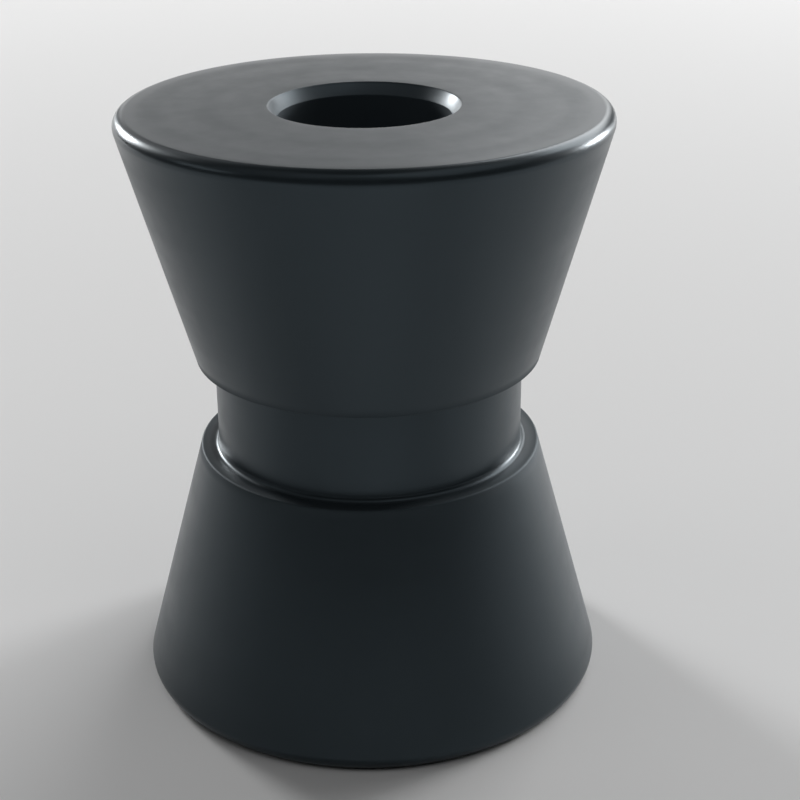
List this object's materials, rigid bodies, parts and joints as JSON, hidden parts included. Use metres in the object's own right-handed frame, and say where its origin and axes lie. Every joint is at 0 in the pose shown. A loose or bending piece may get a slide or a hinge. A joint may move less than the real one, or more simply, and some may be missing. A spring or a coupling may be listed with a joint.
{
  "type": "anchor roller",
  "caption": "Black plastic hourglass anchor roller: cones narrow to a stepped cylindrical waist that guides the chain, with a plain through bore for the pin.",
  "frame": {"origin": "on the bore's axis, halfway along the roller", "axes": "+Z along the bore, towards the upper end face; the roller stands on its lower end face"},
  "size_m": [0.08, 0.08, 0.1],
  "materials": {
    "black_plastic": "satin black, as turned"
  },
  "bodies": {
    "root": {"roller": "black_plastic"}
  },
  "joints": []
}
